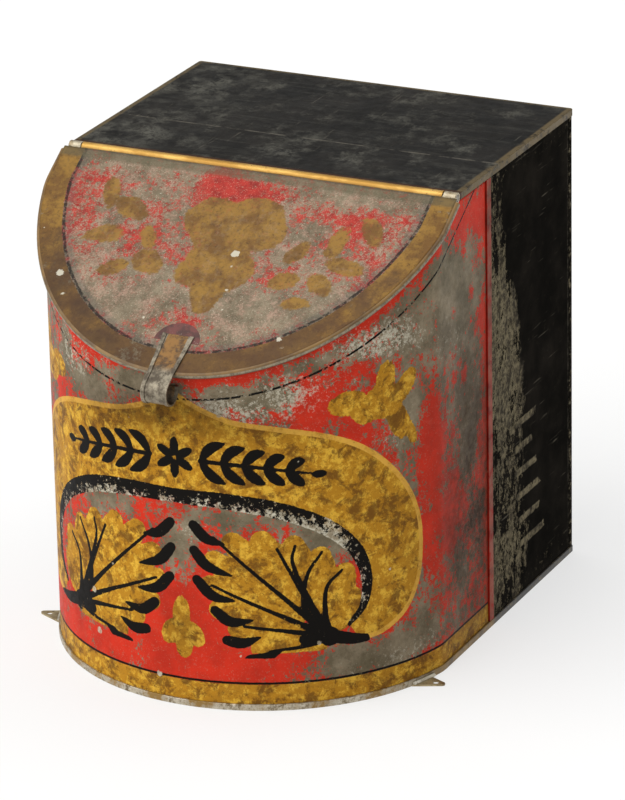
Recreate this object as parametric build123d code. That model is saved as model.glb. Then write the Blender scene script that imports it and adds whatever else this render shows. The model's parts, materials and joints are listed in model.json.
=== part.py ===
from build123d import *
import os
from math import cos, radians, sin, sqrt

os.makedirs("parts", exist_ok=True)

# A slant-front store bin for spice, soldered up from tinplate, in millimetres.
# +Z is up and the bowed front faces -Y. The origin is the middle of the base's underside.

# Body
body_width = 190.0        # between the outer faces of the side panels
straight_depth = 149.0    # flat sides, from the back to where the bow starts
bow_depth = 78.0          # how far the front bows forward of the flat sides
shoulder_radius = 25.0    # rounding between a flat side and the bow
body_height = 220.5       # to the upper face of the top plate
sheet = 0.4               # tinplate
folded = 2 * sheet        # an edge folded back flat on itself
seat_gap = 0.1            # between a turned edge and the wall that it goes round

# Base and top edges
base_rim_height = 3.0
top_rim_drop = 3.2
rim_corner_radius = 1.5
edge_softness = 0.3       # rounding of a folded edge

# Seams up the sides
seam_setback = 93.0       # rear edge of the red front sheet, forward of the back
seam_width = 4.6
seam_tuck = 0.6           # how far the side panel stops short of the seam's front edge
corner_fold = 3.0         # width of the back panel's fold round each rear corner
rim_to_seam = 0.3         # a seam stops this far short of the rims

# Slanted mouth and hinge
lid_slope = 31.8          # degrees below level
hinge_setback = 129.5     # hinge axis forward of the back
hinge_drop = 1.6          # hinge axis below the top plate's upper face
mouth_hem = 5.0           # depth of the folded hem inside the mouth
hem_start = 7.0           # from the hinge axis to where that hem begins
barrel_radius = 2.5
pin_radius = 1.6
pin_gap = 0.05            # radial, in the hinge barrel and knuckles and in the lid's edge
turning_gap = 0.3         # between the lid and what it turns past
knuckle_length = 6.2
knuckle_notch = 0.5       # between a knuckle and the end of the barrel
wire_end_round = 0.5
leaf_length = 14.0
leaf_margin = 0.6         # leaf of a knuckle to the hem beside it
flange_drop = 6.0         # the top plate's front edge, turned down behind the barrel

# Lid
lid_rear_gap = 2.4        # from the hinge axis to the rear edge of the lid's sheet
roll_start = 4.0          # from the hinge axis to where the rolled edge begins
roll_radius = 1.6
roll_seat = 0.05          # between the sheet and the roll it nests against
wall_to_roll = 0.5
roll_opening = 40.0       # degrees of the roll left open, on its inner side

# Lift tab
tab_root = 97.0           # from the hinge axis, down the lid
tab_root_width = 15.0
tab_tip_width = 12.6
tab_hem = 1.8
curl_radius = 6.0
curl_sweep = 250.0        # degrees of roll from the lid's face
curl_to_wall = 0.4
halo_margin = 3.4         # solder showing beside and behind the root of the tab
halo_height = 10.2
solder_film = 0.2

# Base lugs
lug_setback = 163.0       # centre line, forward of the back
lug_root_width = 15.0
lug_length = 8.0          # from the side's outer face to where the tip is rounded
lug_tip_radius = 1.5
lug_hole_setout = 3.0     # from the side's outer face
lug_hole_radius = 1.5
lug_thickness = 0.8
lug_overlap = 4.0         # how far the lug's sides run on inside the rim before it is trimmed

# Solder
fillet_leg = 1.6          # along the base and up the rear corners
seam_bead_width = 3.0
seam_bead_height = 0.8
lug_bead = 1.2
fillet_bevel = 0.85       # share of a fillet's leg that slopes
bead_bevel = 0.7

# Places worked out from the sizes above
half_width = body_width / 2
back_y = (straight_depth + bow_depth) / 2
front_y = back_y - straight_depth - bow_depth
shoulder_y = back_y - straight_depth
seam_y = back_y - seam_setback
hinge_y = back_y - hinge_setback
hinge_z = body_height - hinge_drop
lid_face = barrel_radius                        # outer face of the lid, off the hinge axis
lid_under = lid_face - sheet
mouth_level = lid_under - turning_gap
rim_outset = seat_gap + folded
roll_outset = wall_to_roll + roll_radius
roll_level = lid_face - roll_radius
bore_radius = pin_radius + pin_gap
edge_wire_radius = roll_radius - sheet - pin_gap
knuckle_end = half_width + rim_outset
barrel_half = knuckle_end - knuckle_length - knuckle_notch
flange_y = barrel_radius + turning_gap          # front face of the top plate's flange, behind the axis
reach = 2 * (body_width + body_height + straight_depth + bow_depth)   # longer than anything here
slope_cos = cos(radians(lid_slope))
slope_sin = sin(radians(lid_slope))
hinge_line = Pos(0, hinge_y, hinge_z)
lid_frame = hinge_line * Rot(X=lid_slope)       # +Z off the lid's face, -Y down the lid
across = Plane(origin=(0, 0, 0), x_dir=(0, -1, 0), z_dir=(-1, 0, 0))  # forward and up


def body_plan(grow=0.0):
    """Plan outline of the walls' outer faces, grown outwards."""
    sides = Polyline(
        (half_width, shoulder_y), (half_width, back_y), (-half_width, back_y), (-half_width, shoulder_y)
    )
    bow = ThreePointArc((-half_width, shoulder_y), (0, front_y), (half_width, shoulder_y))
    plan = make_face(sides + bow)
    plan = fillet(plan.vertices().group_by(Axis.Y)[0], shoulder_radius)
    return offset(plan, amount=grow, kind=Kind.INTERSECTION) if grow else plan


def block(x, y, z):
    """A box given by its low and high values along each axis."""
    middle = [(low + high) / 2 for low, high in (x, y, z)]
    return Pos(*middle) * Box(x[1] - x[0], y[1] - y[0], z[1] - z[0])


def mirrored(shape):
    return mirror(shape, about=Plane.YZ)


def rod(radius, x_low, x_high):
    """A round bar along X, centred on the X axis."""
    return Pos((x_low + x_high) / 2, 0, 0) * Rot(Y=90) * Cylinder(radius, x_high - x_low)


def wall_shell():
    """All four walls in one, from the base sheet to the top plate, open at the slanted mouth."""
    height = body_height - 2 * sheet
    shell = Pos(0, 0, sheet) * (extrude(body_plan(), height) - extrude(body_plan(-sheet), height))
    over_mouth = lid_frame * block((-reach, reach), (-reach, reach), (mouth_level, reach))
    hinge_relief = hinge_line * rod(barrel_radius + turning_gap, -reach, reach)
    return shell - over_mouth - hinge_relief


def lock_seam():
    """Right-hand raised seam: the front sheet folded over the edge of the side panel."""
    seam = block(
        (half_width, half_width + folded),
        (seam_y - seam_width, seam_y),
        (base_rim_height + rim_to_seam, body_height - top_rim_drop - rim_to_seam),
    )
    outer = seam.edges().filter_by(Axis.Z).group_by(Axis.X)[-1]
    return fillet(outer, edge_softness)


def mouth_lining():
    """The front sheet's upper edge, folded in and down inside the mouth."""
    ring = extrude(body_plan(-sheet), body_height) - extrude(body_plan(-folded), body_height)
    depth = (mouth_level - mouth_hem, mouth_level)
    band = lid_frame * block((-reach, reach), (-reach, -hem_start), depth)
    return ring & band


def front_wall(shell):
    sheet_front = seam_y - seam_width + seam_tuck
    ahead = block((-reach, reach), (-reach, sheet_front), (0, reach))
    seam = lock_seam()
    return (shell & ahead) + seam + mirrored(seam) + mouth_lining()


def side_panel(shell):
    """The right-hand side, tucked under the lock seam and the back panel's fold."""
    zone = block((0, reach), (seam_y - seam_width + seam_tuck, back_y - sheet), (0, reach))
    edge = block((half_width - sheet, reach), (-reach, reach), (0, reach))
    return shell & zone & edge


def back_panel():
    """The back, with both upright edges folded round onto the side panels."""
    panel = block((-half_width, half_width), (back_y - sheet, back_y), (sheet, body_height - sheet))
    fold = block(
        (half_width, half_width + sheet),
        (back_y - corner_fold, back_y),
        (base_rim_height + rim_to_seam, body_height - top_rim_drop - rim_to_seam),
    )
    return panel + fold + mirrored(fold)


def base_pan():
    """The bottom sheet, its edge turned up round the foot of the walls and folded."""
    pan = extrude(body_plan(rim_outset), base_rim_height)
    corners = pan.edges().filter_by(Axis.Z).group_by(Axis.Y)[-1]
    pan = fillet(corners, rim_corner_radius)
    levels = pan.faces().sort_by(Axis.Z)
    pan = fillet(levels[-1].edges() + levels[0].edges(), edge_softness)
    well = extrude(body_plan(seat_gap), base_rim_height)
    return pan - Pos(0, 0, sheet) * well


def top_plate():
    """The top sheet, turned down over the sides and back, and down behind the hinge barrel."""
    front = hinge_y + flange_y
    outer = half_width + rim_outset
    low = body_height - top_rim_drop
    plate = block((-outer, outer), (front, back_y + rim_outset), (low, body_height))
    corners = plate.edges().filter_by(Axis.Z).group_by(Axis.Y)[-1]
    plate = fillet(corners, rim_corner_radius)
    upper = plate.edges().group_by(Axis.Z)[-1]
    plate = fillet(upper.filter_by(lambda edge: edge.center().Y > front), edge_softness)
    inner = half_width + seat_gap
    plate -= block((-inner, inner), (-reach, back_y + seat_gap), (low, body_height - sheet))
    inside = half_width - folded - seat_gap
    flange = block((-inside, inside), (front, front + sheet), (body_height - flange_drop, body_height - sheet))
    return plate + flange


def hinge_barrel():
    """The long rolled tube along the top plate's front edge, fixed to the bin."""
    return hinge_line * (rod(barrel_radius, -barrel_half, barrel_half) - rod(bore_radius, -reach, reach))


def hinge_solder():
    """Solder in the groove between the barrel and the top plate's flange."""
    run = block((-barrel_half, barrel_half), (pin_radius, flange_y), (-barrel_radius + sheet, hinge_drop))
    plate = block((-reach, reach), (flange_y, reach), (-reach, reach))
    return hinge_line * (run - rod(barrel_radius, -reach, reach) - plate)


def hinge_wire():
    wire = rod(pin_radius, -knuckle_end, knuckle_end)
    ends = wire.edges().filter_by(GeomType.CIRCLE)
    return hinge_line * fillet(ends, wire_end_round)


def lid_knuckle():
    """Right-hand end of the hinge: a curl round the wire with a leaf under the lid."""
    inner = knuckle_end - knuckle_length
    curl = rod(barrel_radius, inner, knuckle_end)
    rims = curl.edges().filter_by(GeomType.CIRCLE)
    curl = fillet(rims, edge_softness)
    leaf_end = half_width - folded - leaf_margin
    leaf = block((inner, leaf_end), (-leaf_length, 0), (lid_under - sheet, lid_under))
    return lid_frame * (curl + leaf - rod(bore_radius, 0, reach))


def lid_outline(start):
    """The middle line of the rolled edge as a flat outline in place, from start down the lid."""
    prism = extrude(body_plan(roll_outset), body_height)
    prism &= lid_frame * block((-reach, reach), (-reach, -start), (-reach, reach))
    return section(prism, section_by=Plane(lid_frame * Pos(0, 0, roll_level)))


def along_edge(profile):
    """A profile, drawn with X outwards and Y off the lid's face, carried round the lid's edge."""
    outline = lid_outline(roll_start)
    rear = outline.edges().sort_by(Axis.Y)[-1]
    path = Wire([edge for edge in outline.edges() if edge.center().Y < rear.center().Y - roll_radius])
    outwards = (path % 0).cross(Plane(lid_frame).z_dir)
    return sweep(Plane(origin=path @ 0, x_dir=outwards, z_dir=path % 0) * profile, path=path)


def lid_panel():
    """The lid's flat sheet, trimmed to nest against its rolled edge."""
    normal = Plane(lid_frame).z_dir
    flat = extrude(lid_outline(lid_rear_gap), sheet, dir=normal)
    flat = flat.moved(Location(normal * (lid_under - roll_level)))
    return flat - along_edge(Circle(roll_radius + roll_seat))


def lid_rolled_edge():
    """The lid's edge, rolled under round its wire and left open on the inner side."""
    inner = edge_wire_radius + pin_gap
    first = 180 + roll_opening
    turn = 360 - roll_opening
    outer_arc = CenterArc((0, 0), roll_radius, first, turn)
    inner_arc = CenterArc((0, 0), inner, first, turn)
    ends = Line(outer_arc @ 0, inner_arc @ 0) + Line(outer_arc @ 1, inner_arc @ 1)
    return along_edge(make_face(outer_arc + inner_arc + ends))


def lid_edge_wire():
    return along_edge(Circle(edge_wire_radius))


def curl_centre():
    """How far down the lid, and how far off the hinge axis, the middle of the tab's curl is."""
    level = lid_face + folded - curl_radius
    ahead = hinge_y - front_y + curl_to_wall + curl_radius
    return (ahead - level * slope_sin) / slope_cos, level


def tab_layer(outer_radius):
    """One thickness of the tab's strip and curl, full width, seen from the side and drawn across."""
    down, level = curl_centre()
    ring = Circle(outer_radius) - Circle(outer_radius - sheet)
    end = 90 - curl_sweep
    missing = make_face(Polyline(
        (0, 0), (0, reach), (-reach, reach), (reach * cos(radians(end)), reach * sin(radians(end))), (0, 0)
    ))
    strip_middle = ((tab_root - down) / 2, outer_radius - sheet / 2)
    strip = Pos(*strip_middle) * Rectangle(down - tab_root, sheet)
    profile = Pos(down, level) * ((ring - missing) + strip)
    return extrude(across * profile, reach / 2, both=True)


def tab_taper(inset):
    """A block with the tab's tapered width, narrowed by inset along each side."""
    straight_from = curl_centre()[0] - curl_radius
    root = tab_root_width / 2 - inset
    tip = tab_tip_width / 2 - inset
    outline = make_face(Polyline(
        (-root, -tab_root), (root, -tab_root), (tip, -straight_from), (tip, -reach),
        (-tip, -reach), (-tip, -straight_from), (-root, -tab_root)
    ))
    return extrude(outline, reach / 2, both=True)


def lift_tab():
    """The finger tab: a tapered strip with hemmed edges, curled under in front of the lid."""
    strip = tab_layer(curl_radius - sheet) & tab_taper(0)
    hems = tab_layer(curl_radius) & (tab_taper(0) - tab_taper(tab_hem))
    return lid_frame * (strip + hems)


def tab_solder():
    """The arch of solder that shows round the root of the tab."""
    width = tab_root_width + 2 * halo_margin
    arch = Pos(0, -tab_root - halo_margin) * Ellipse(width / 2, halo_height)
    upper = Pos(0, -tab_root - halo_margin + reach / 2) * Rectangle(reach, reach)
    film = extrude(arch & upper, solder_film)
    return lid_frame * (Pos(0, 0, lid_face) * film - tab_taper(0))


def base_lug():
    """Right-hand pointed lug with a screw hole, flat on the counter and soldered to the rim."""
    y = back_y - lug_setback
    root_x = half_width + lug_length - lug_root_width
    tip_x = half_width + lug_length + lug_tip_radius
    ear = make_face(Polyline(
        (root_x, y - lug_root_width / 2), (tip_x, y), (root_x, y + lug_root_width / 2),
        (root_x - lug_overlap, y + lug_root_width / 2), (root_x - lug_overlap, y - lug_root_width / 2),
        (root_x, y - lug_root_width / 2)
    ))
    ear = fillet(ear.vertices().sort_by(Axis.X)[-1], lug_tip_radius)
    ear -= Pos(half_width + lug_hole_setout, y) * Circle(lug_hole_radius)
    ear -= body_plan(rim_outset)
    return extrude(ear, lug_thickness)


def lug_solder():
    """Solder bead in the angle between the right-hand lug and the rim."""
    y = back_y - lug_setback
    bead = body_plan(rim_outset + lug_bead) - body_plan(rim_outset)
    bead &= Pos(half_width, y) * Rectangle(body_width, lug_root_width - 2 * lug_bead)
    bead = extrude(bead, lug_bead)
    top = bead.faces().sort_by(Axis.Z)[-1].edges()
    outer = top.filter_by(lambda edge: edge.length > lug_root_width / 2).sort_by(Axis.X)[-1]
    return Pos(0, 0, lug_thickness) * chamfer(outer, lug_bead * bead_bevel)


def base_solder():
    """Fillet of solder all round the inside of the base."""
    ring = extrude(body_plan(-sheet), fillet_leg) - extrude(body_plan(-sheet - fillet_leg), fillet_leg)
    inner_top = ring.faces().sort_by(Axis.Z)[-1].inner_wires()[0].edges()
    return Pos(0, 0, sheet) * chamfer(inner_top, fillet_leg * fillet_bevel)


def corner_solder():
    """Fillet of solder up the inside of the right-hand rear corner."""
    x = half_width - sheet
    y = back_y - sheet
    section = make_face(Polyline((x, y), (x - fillet_leg, y), (x, y - fillet_leg), (x, y)))
    low = sheet + fillet_leg
    return Pos(0, 0, low) * extrude(section, body_height - sheet - low)


def seam_solder():
    """Flat bead of solder up the inside of the right-hand lock seam."""
    x = half_width - sheet
    y = seam_y - seam_width + seam_tuck
    bead = make_face(
        ThreePointArc((x, y - seam_bead_width / 2), (x - seam_bead_height, y), (x, y + seam_bead_width / 2))
        + Line((x, y + seam_bead_width / 2), (x, y - seam_bead_width / 2))
    )
    low = sheet + fillet_leg
    return Pos(0, 0, low) * extrude(bead, body_height - sheet - low)


def all_parts():
    shell = wall_shell()
    parts = {
        "base_pan": base_pan(),
        "front_wall": front_wall(shell),
        "back_panel": back_panel(),
        "top_plate": top_plate(),
        "hinge_barrel": hinge_barrel(),
        "hinge_solder": hinge_solder(),
        "hinge_wire": hinge_wire(),
        "base_solder": base_solder(),
        "lid_panel": lid_panel(),
        "lid_rolled_edge": lid_rolled_edge(),
        "lid_edge_wire": lid_edge_wire(),
        "lift_tab": lift_tab(),
        "tab_solder": tab_solder(),
    }
    pairs = {
        "side_panel": side_panel(shell),
        "seam_solder": seam_solder(),
        "corner_solder": corner_solder(),
        "base_lug": base_lug(),
        "lug_solder": lug_solder(),
        "lid_knuckle": lid_knuckle(),
    }
    for name, shape in pairs.items():
        parts[name + "_right"] = shape
        parts[name + "_left"] = mirrored(shape)
    return parts


for name, shape in all_parts().items():
    export_step(shape, f"parts/{name}.step")
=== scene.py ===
"""Looks for the slant-front store bin: worn tole paint over tinplate, in the row frame, in metres."""

import json
import math

import bpy
import numpy as np
from mathutils import Matrix, Vector


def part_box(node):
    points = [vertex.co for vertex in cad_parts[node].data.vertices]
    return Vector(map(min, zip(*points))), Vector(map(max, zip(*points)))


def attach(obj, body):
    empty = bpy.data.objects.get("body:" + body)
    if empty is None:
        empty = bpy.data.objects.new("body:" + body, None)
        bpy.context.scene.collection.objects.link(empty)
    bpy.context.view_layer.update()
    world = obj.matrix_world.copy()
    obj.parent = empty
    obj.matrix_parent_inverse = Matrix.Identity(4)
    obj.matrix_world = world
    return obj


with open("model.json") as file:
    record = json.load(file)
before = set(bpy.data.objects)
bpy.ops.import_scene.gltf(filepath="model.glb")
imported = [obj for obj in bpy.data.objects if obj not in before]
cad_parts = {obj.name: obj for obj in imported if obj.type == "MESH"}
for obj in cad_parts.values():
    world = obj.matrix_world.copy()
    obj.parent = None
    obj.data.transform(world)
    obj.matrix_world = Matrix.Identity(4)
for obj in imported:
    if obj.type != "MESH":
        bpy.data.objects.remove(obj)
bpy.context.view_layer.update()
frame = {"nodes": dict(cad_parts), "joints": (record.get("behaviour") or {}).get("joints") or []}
MM = 0.001

# ---- sizes in mm, from the frame where it has them
def in_mm(box):
    """A box's lower and upper corner, from metres to mm."""
    return [Vector(corner) / MM for corner in box]


wall_low, wall_high = in_mm(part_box("front_wall"))
roll_low, roll_high = in_mm(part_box("lid_rolled_edge"))
side_high = in_mm(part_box("side_panel_right"))[1]
HALF = side_high.x  # outer face of the sides
WALL_TOP = side_high.z
APEX_Y = wall_low.y  # outer face of the bow, at the middle
SEAM_Y = wall_high.y  # rear edge of the front sheet
BACK_Y = in_mm(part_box("back_panel"))[1].y
RIM_TOP = in_mm(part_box("base_pan"))[1].z
TAB_TIP_Y = in_mm(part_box("lift_tab"))[0].y
HINGE = Vector(frame["joints"][0]["pos_m"]) / MM
BOW_DEPTH = 78.0
SHOULDER = 25.0  # rounding between the bow and a side
LID_SLOPE = math.radians(31.8)
FACE_LEVEL = 2.5  # lid's outer face, off the hinge axis
MOUTH_LEVEL = 1.8  # upper edge of the front sheet, off the hinge axis
ROLL = 1.6  # radius of the lid's rolled edge
TOP_EDGE_DROP = 3.6  # reach of the top plate's turned edge down the front sheet
SEAM_MARGIN = 5.0  # lock seam, which no paint film covers
RIM_OVERLAP = 0.5  # film hidden behind the base's rim
SKIN = 0.2  # half a sheet's thickness, to tell its inner face from its outer one
SIN, COS = math.sin(LID_SLOPE), math.cos(LID_SLOPE)


# ---- plan of the walls
class Plan:
    """The walls' outline seen from above, walked by arc length from the middle of the bow."""

    def __init__(self, grow=0.0):
        bow = (HALF**2 + BOW_DEPTH**2) / (2 * BOW_DEPTH)
        self.middle = APEX_Y + bow
        self.shoulder_x = HALF - SHOULDER
        self.shoulder_y = self.middle - math.sqrt((bow - SHOULDER) ** 2 - self.shoulder_x**2)
        self.bow = bow + grow
        self.round = SHOULDER + grow
        self.side = HALF + grow
        self.turn = math.atan2(self.middle - self.shoulder_y, self.shoulder_x)
        self.bow_end = self.bow * (math.pi / 2 - self.turn)
        self.round_end = self.bow_end + self.round * self.turn

    def at(self, s):
        """x, y and the outward normal at arc length s."""
        t = np.abs(s)
        bow_angle = t / self.bow
        round_angle = self.turn - (t - self.bow_end) / self.round
        on_bow, on_side = t < self.bow_end, t > self.round_end
        nx = np.where(on_bow, np.sin(bow_angle), np.where(on_side, 1.0, np.cos(round_angle)))
        ny = np.where(on_bow, -np.cos(bow_angle), np.where(on_side, 0.0, -np.sin(round_angle)))
        x = np.where(on_bow, self.bow * nx, np.where(on_side, self.side, self.shoulder_x + self.round * nx))
        y = np.where(on_bow, self.middle + self.bow * ny, self.shoulder_y + self.round * ny)
        y = np.where(on_side, self.shoulder_y + (t - self.round_end), y)
        return x * np.sign(s), y, nx * np.sign(s), ny

    def half_width_at(self, y):
        bow = np.sqrt(np.maximum(self.bow**2 - (y - self.middle) ** 2, 0))
        rounded = self.shoulder_x + np.sqrt(np.maximum(self.round**2 - (y - self.shoulder_y) ** 2, 0))
        bow_until = self.middle - self.bow * math.sin(self.turn)
        return np.where(y < bow_until, bow, np.where(y < self.shoulder_y, rounded, self.side))


WALLS = Plan()
SEAM_S = WALLS.round_end + SEAM_Y - WALLS.shoulder_y


def mouth_height(y, level):
    """Height of the lid's plane, moved level off the hinge axis, above a point in plan."""
    return HINGE.z + (level - SIN * (HINGE.y - y)) / COS


# ---- signed distances for the painted design
FAR = 1e3


def disc(p, centre, radius):
    return radius - np.hypot(p[:, 0] - centre[0], p[:, 1] - centre[1])


def oval(p, centre, long, short, tilt):
    c, s = math.cos(math.radians(tilt)), math.sin(math.radians(tilt))
    x, y = p[:, 0] - centre[0], p[:, 1] - centre[1]
    u, v = (x * c + y * s) / long, (y * c - x * s) / short
    return (1 - np.hypot(u, v)) * short


def smooth_line(points, steps=7):
    """A Catmull-Rom line through a few points."""
    pts = np.array(points, float)
    q = np.vstack([2 * pts[:1] - pts[1:2], pts, 2 * pts[-1:] - pts[-2:-1]])
    t = np.arange(steps)[:, None] / steps
    out = [
        0.5 * (2 * b + (c - a) * t + (2 * a - 5 * b + 4 * c - d) * t**2 + (3 * b - a - 3 * c + d) * t**3)
        for a, b, c, d in zip(q, q[1:], q[2:], q[3:])
    ]
    return np.vstack([*out, pts[-1:]])


def segments(line, closed=False):
    return list(zip(line, np.roll(line, -1, axis=0)))[: None if closed else -1]


def to_segment(p, a, b):
    """Distance from a segment and how far along it the nearest point is."""
    ab = b - a
    t = np.clip(((p - a) @ ab) / max(ab @ ab, 1e-9), 0, 1)
    return np.hypot(*(p - a - t[:, None] * ab).T), t


def stroke(p, points, start, end, belly=None):
    """A brush stroke through points. Its half width goes from start, by way of belly, to end."""
    line = smooth_line(points)
    ends = (start + end) / 2
    belly = ends if belly is None else belly
    best = np.full(len(p), -FAR)
    count = len(line) - 1
    for i, (a, b) in enumerate(segments(line)):
        d, t = to_segment(p, a, b)
        along = (i + t) / count
        bulge = 2 * (2 * belly - ends) * along * (1 - along)
        width = start * (1 - along) ** 2 + bulge + end * along**2
        best = np.maximum(best, width - d)
    return best


def inside(p, line):
    """Signed distance of a closed outline, positive inside."""
    best = np.full(len(p), FAR)
    within = np.zeros(len(p), bool)
    for a, b in segments(line, closed=True):
        best = np.minimum(best, to_segment(p, a, b)[0])
        crosses = (a[1] > p[:, 1]) != (b[1] > p[:, 1])
        rise = b[1] - a[1] if abs(b[1] - a[1]) > 1e-9 else 1e-9
        within ^= crosses & (p[:, 0] < (b[0] - a[0]) * (p[:, 1] - a[1]) / rise + a[0])
    return np.where(within, best, -best)


def union(*fields):
    return np.maximum.reduce(fields)


def melt(*fields, softness=0.9):
    """A union whose inner corners are filled."""
    top = union(*fields)
    return top + softness * np.log(sum(np.exp((f - top) / softness) for f in fields))


def flipped(points, about):
    return [(2 * about - x, y) for x, y in points]


def patches(p, spots):
    """A soft field from worn and kept places: across, up, reach across, reach up, amount."""
    total = np.zeros(len(p))
    for x, y, rx, ry, amount in spots:
        total += amount * np.exp(-(((p[:, 0] - x) / rx) ** 2 + ((p[:, 1] - y) / ry) ** 2))
    return total


# ---- the front's design: arc length and height, mm
MIDDLE = 3.0  # the design's axis, a little right of the bow's middle
PEAK = (MIDDLE, 150.5)
FOOT_TOP = 12.4  # gold band along the foot
FOOT_LINE = 13.0
MOUTH_LINE = 14.5  # black line, below the mouth
EDGING = 2.1  # pale line along the cartouche's edge
CARTOUCHE_FOOT = 29
# Right halves of the cartouche's outline and of the black arch, from the axis outwards
CARTOUCHE = [(14, 144), (30, 138), (50, 134.5), (70, 130), (87, 122.5), (101, 111), (112, 97),
             (118.5, 82), (120, 66), (117.5, 50), (110, 38), (98, 31), (86, CARTOUCHE_FOOT)]
ARCH = [(MIDDLE, 100.5), (24, 100), (44, 97), (61, 91), (75, 82.5), (85, 71), (89, 58), (87, 46), (80, 38)]
# The right fan leaf, from its hub: tips of its lobes, and its black veins and commas
HUB = (71, 33.5)
LOBES = [(-17, -11), (-33, -4), (-44, 6), (-53, 16), (-57, 28), (-55, 41), (-46, 51), (-32, 52),
         (-17, 49), (-4, 42), (8, 32), (11, 19)]
VEINS = [[(-20, 20), (-51, 49)],
         [(-13, 24), (-23, 44)],
         [(-11, 14), (-10, 30), (-3, 41)],
         [(-2, 11), (-1, 24), (6, 31)],
         [(-22, 12), (-52, 26)],
         [(-17, 4), (-38, 7)],
         [(-10, -3), (-27, -5)],
         [(-8, 16), (-16, 36), (-15, 45)]]
COMMAS = [[(-60, 54), (-54, 48), (-46, 46)],
          [(-60, 42), (-54, 35), (-43, 31)],
          [(-59, 28), (-52, 21), (-42, 19)],
          [(-51, 14), (-44, 9), (-34, 10)],
          [(-46, 0), (-39, -1), (-31, 2)],
          [(-36, -9), (-29, -8), (-21, -4)],
          [(-21, -16), (-14, -17), (-7, -13)]]
# Petals as ovals: across, up, half length, half width, tilt
FLOWER = [(81, 142.5, 9, 5.5, 8), (88, 137, 6.5, 5, -40), (100, 150, 9, 5, 78), (111, 145, 8.5, 4.6, 52),
          (98, 140, 9, 8, 0), (107, 129, 9, 5.5, -68), (114.5, 121, 5.5, 2.6, -75)]
BUD = [(4, 44, 8.5, 4.2, 88), (-1, 35, 6.5, 4.6, 62), (10, 35, 6.5, 4.2, -58), (5, 29, 6, 4, 90)]
# Soft spots: across, up, reach across, reach up, amount. Negative wear keeps the paint.
FRONT_WEAR = [(142, 172, 40, 26, 0.30), (110, 128, 10, 18, 0.28), (160, 118, 22, 44, 0.22),
              (160, 40, 24, 26, 0.15), (98, 20, 30, 10, 0.32), (-12, 153, 22, 8, 0.36),
              (36, 148, 24, 6, 0.32), (62, 166, 34, 8, 0.20), (-64, 150, 15, 12, 0.16),
              (-44, 141, 15, 7, 0.26), (5, 76, 9, 14, 0.32), (70, 82, 12, 12, 0.34),
              (-34, 90, 14, 6, 0.20), (40, 92, 30, 5, 0.18), (168, 170, 3, 5, -0.3),
              (177, 155, 4, 9, -0.3), (62, 143, 10, 12, -0.30), (128, 112, 9, 24, -0.28),
              (144, 74, 8, 20, -0.24), (5, 38, 17, 26, -0.30), (-50, 20, 36, 6, -0.14),
              (36, 17, 36, 5, -0.10), (160, 134, 3.5, 6, -0.3), (150, 166, 4, 5, -0.2),
              (184, 110, 5, 120, -0.16), (176, 205, 18, 8, -0.20), (-120, 150, 40, 40, 0.16),
              (-150, 60, 34, 60, 0.14)]
# Darkening spots, same columns: partly sooty browning of the paint, partly painted shade down the right and
# left of the bow where the light falls off
FRONT_SOOT_AND_SHADE = [(170, 45, 44, 60, 0.95), (168, 120, 40, 60, 0.65), (110, 160, 30, 30, 0.10),
              (-172, 80, 40, 90, 0.5), (2, 140, 30, 11, 0.95), (-34, 131, 24, 12, 0.45),
              (40, 132, 26, 8, 0.35), (95, 20, 30, 14, 0.3), (-90, 100, 20, 60, 0.15), (4, 38, 9, 13, 0.55)]
FRONT_SILVER = [(24, 141, 34, 9, 0.9), (98, 168, 30, 9, 0.9), (60, 152, 26, 8, 0.5),
                (-58, 150, 16, 10, 0.6), (150, 150, 20, 12, 0.4), (104, 122, 8, 12, 0.5),
                (10, 84, 10, 8, 0.5), (112, 16, 30, 9, 0.5), (-30, 160, 70, 10, 0.35)]
# Pale flakes: across, up, radius
FRONT_FLAKES = [(-47, 43, 1.8), (-44, 24, 2.0), (-33, 60, 0.9), (66, 31, 1.3), (24, 140, 1.2), (84, 75, 1.0),
                (31, 26, 0.8), (-8, 13, 1.6), (58, 118, 0.8), (-70, 104, 0.9), (101, 60, 0.9),
                (-20, 133, 0.7)]


def leaf_fields(p, mirror_about=None):
    """Gold body and black brushwork of one fan leaf."""
    def place(points):
        moved = [(HUB[0] + x, HUB[1] + y) for x, y in points]
        return moved if mirror_about is None else flipped(moved, mirror_about)

    lobes = [place([(0.25 * x, 0.25 * y), (0.92 * x, 0.92 * y)]) for x, y in LOBES]
    body = union(*[stroke(p, lobe, 3.0, 5.0, 6.8) for lobe in lobes])
    veins = [stroke(p, place([(0, 0), *points]), 2.1, 0.7, 1.1) for points in VEINS]
    commas = [stroke(p, place(points), 2.3, 0.4, 2.5) for points in COMMAS]
    tail = stroke(p, place([(-12, 0), (0, 0), (12, -3), (24, -4)]), 2.2, 0.6, 3.0)
    return body, union(*veins, *commas, tail, disc(p, place([(0, 0)])[0], 4.6))


def garland_ink(p):
    """A generic running sprig of brush strokes along the cartouche's band."""
    def level(x):
        return 118.5 - ((x - MIDDLE) / 60) ** 2 * 6

    shapes = []
    for a in np.radians(np.arange(90, 450, 60)):
        petal = (MIDDLE + math.cos(a) * 5.2, level(MIDDLE) + math.sin(a) * 5.2)
        shapes.append(oval(p, petal, 4.4, 2.1, math.degrees(a)))
    for side in (-1, 1):
        for k, step in enumerate((15, 24.5, 34, 43.5, 53)):
            x = MIDDLE + side * step
            reach = 9.0 - 0.9 * k
            for up in (-1, 1):
                tip = (x + side * reach * 0.9, level(x + side * reach) + up * (reach * 1.05))
                bend = (x + side * reach * 0.2, level(x) + up * reach * 0.7)
                shapes.append(stroke(p, [(x - side * 3, level(x)), bend, tip], 0.6, 0.5, 2.5))
        stem = [(MIDDLE + side * out, level(MIDDLE + side * out)) for out in (12, 36, 62)]
        shapes.append(stroke(p, stem, 1.0, 0.5, 0.9))
        shapes.append(oval(p, (MIDDLE + side * 64.5, level(MIDDLE + side * 64.5)), 3.4, 1.9, 0))
    return union(*shapes)


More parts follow.
